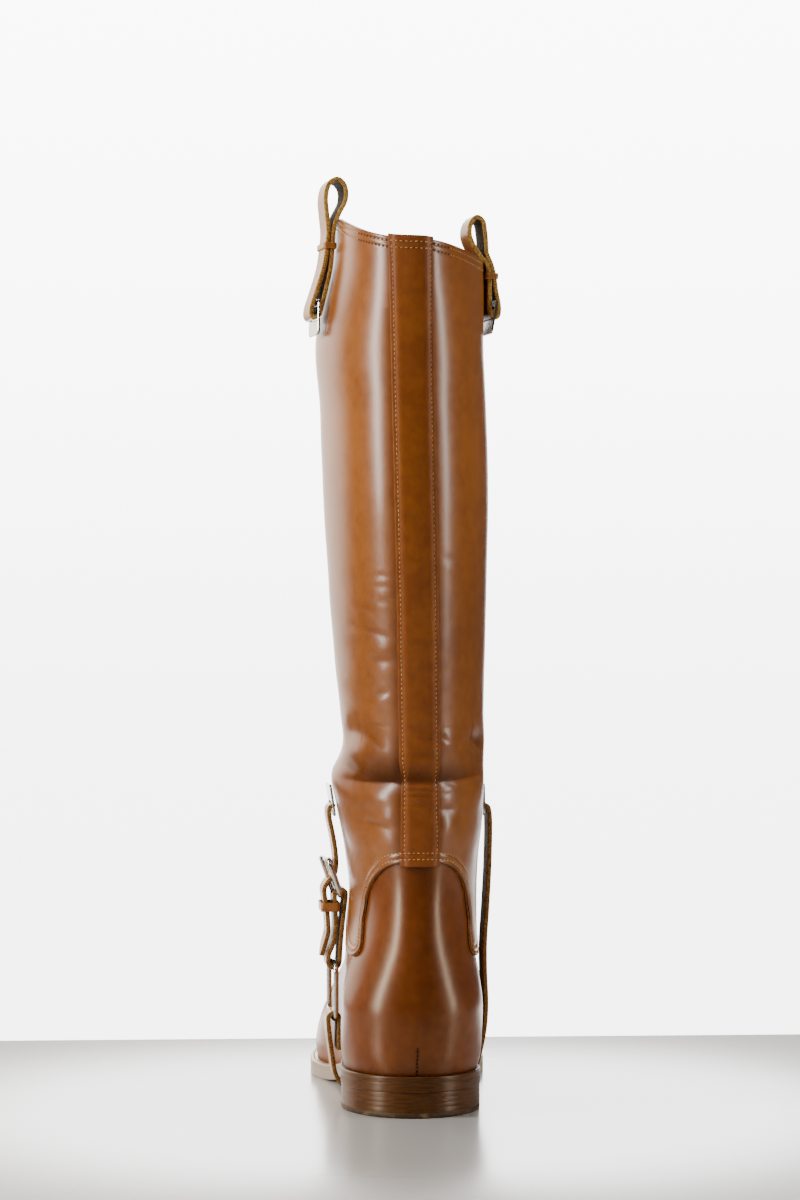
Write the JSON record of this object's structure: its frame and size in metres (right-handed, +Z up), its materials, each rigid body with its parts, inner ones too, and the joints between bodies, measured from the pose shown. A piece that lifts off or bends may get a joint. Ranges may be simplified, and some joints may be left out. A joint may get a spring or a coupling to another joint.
{
  "type": "leather riding boot",
  "caption": "Tall pull-on leather riding boot for the left foot, with a back strap, pull loops at the collar and a buckled strap harness round the ankle and under the waist.",
  "frame": {"origin": "centre of the heel's floor face, on the floor plane", "axes": "+X to the medial side, +Y to the toe, +Z up"},
  "size_m": [0.0973, 0.2973, 0.4496],
  "materials": {
    "tan_leather": "smooth polished tan leather",
    "back_strap_leather": "smooth tan leather, slightly darker",
    "sole_leather": "dark dyed sole leather edge",
    "heel_rubber": "dark rubber",
    "footbed_leather": "natural lining leather",
    "harness_leather": "tan strap leather with raw edges",
    "bright_steel": "polished plated metal"
  },
  "bodies": {
    "root": {"outsole": "sole_leather", "welt": "sole_leather", "insole": "footbed_leather", "heel_stack": "sole_leather", "heel_top_piece": "heel_rubber", "upper": "tan_leather", "shaft": "tan_leather", "back_strap": "back_strap_leather", "pull_loop_lateral": "harness_leather", "pull_loop_medial": "harness_leather", "loop_keeper_lateral": "harness_leather", "loop_keeper_medial": "harness_leather", "loop_plate_lateral": "bright_steel", "loop_plate_medial": "bright_steel", "ankle_plate_lateral": "bright_steel", "ankle_plate_medial": "bright_steel", "billet_strap": "harness_leather", "buckle_frame": "bright_steel", "buckle_prong": "bright_steel", "buckle_strap": "harness_leather", "strap_keeper": "harness_leather", "link_ring": "bright_steel", "sole_strap": "harness_leather"}
  },
  "joints": []
}
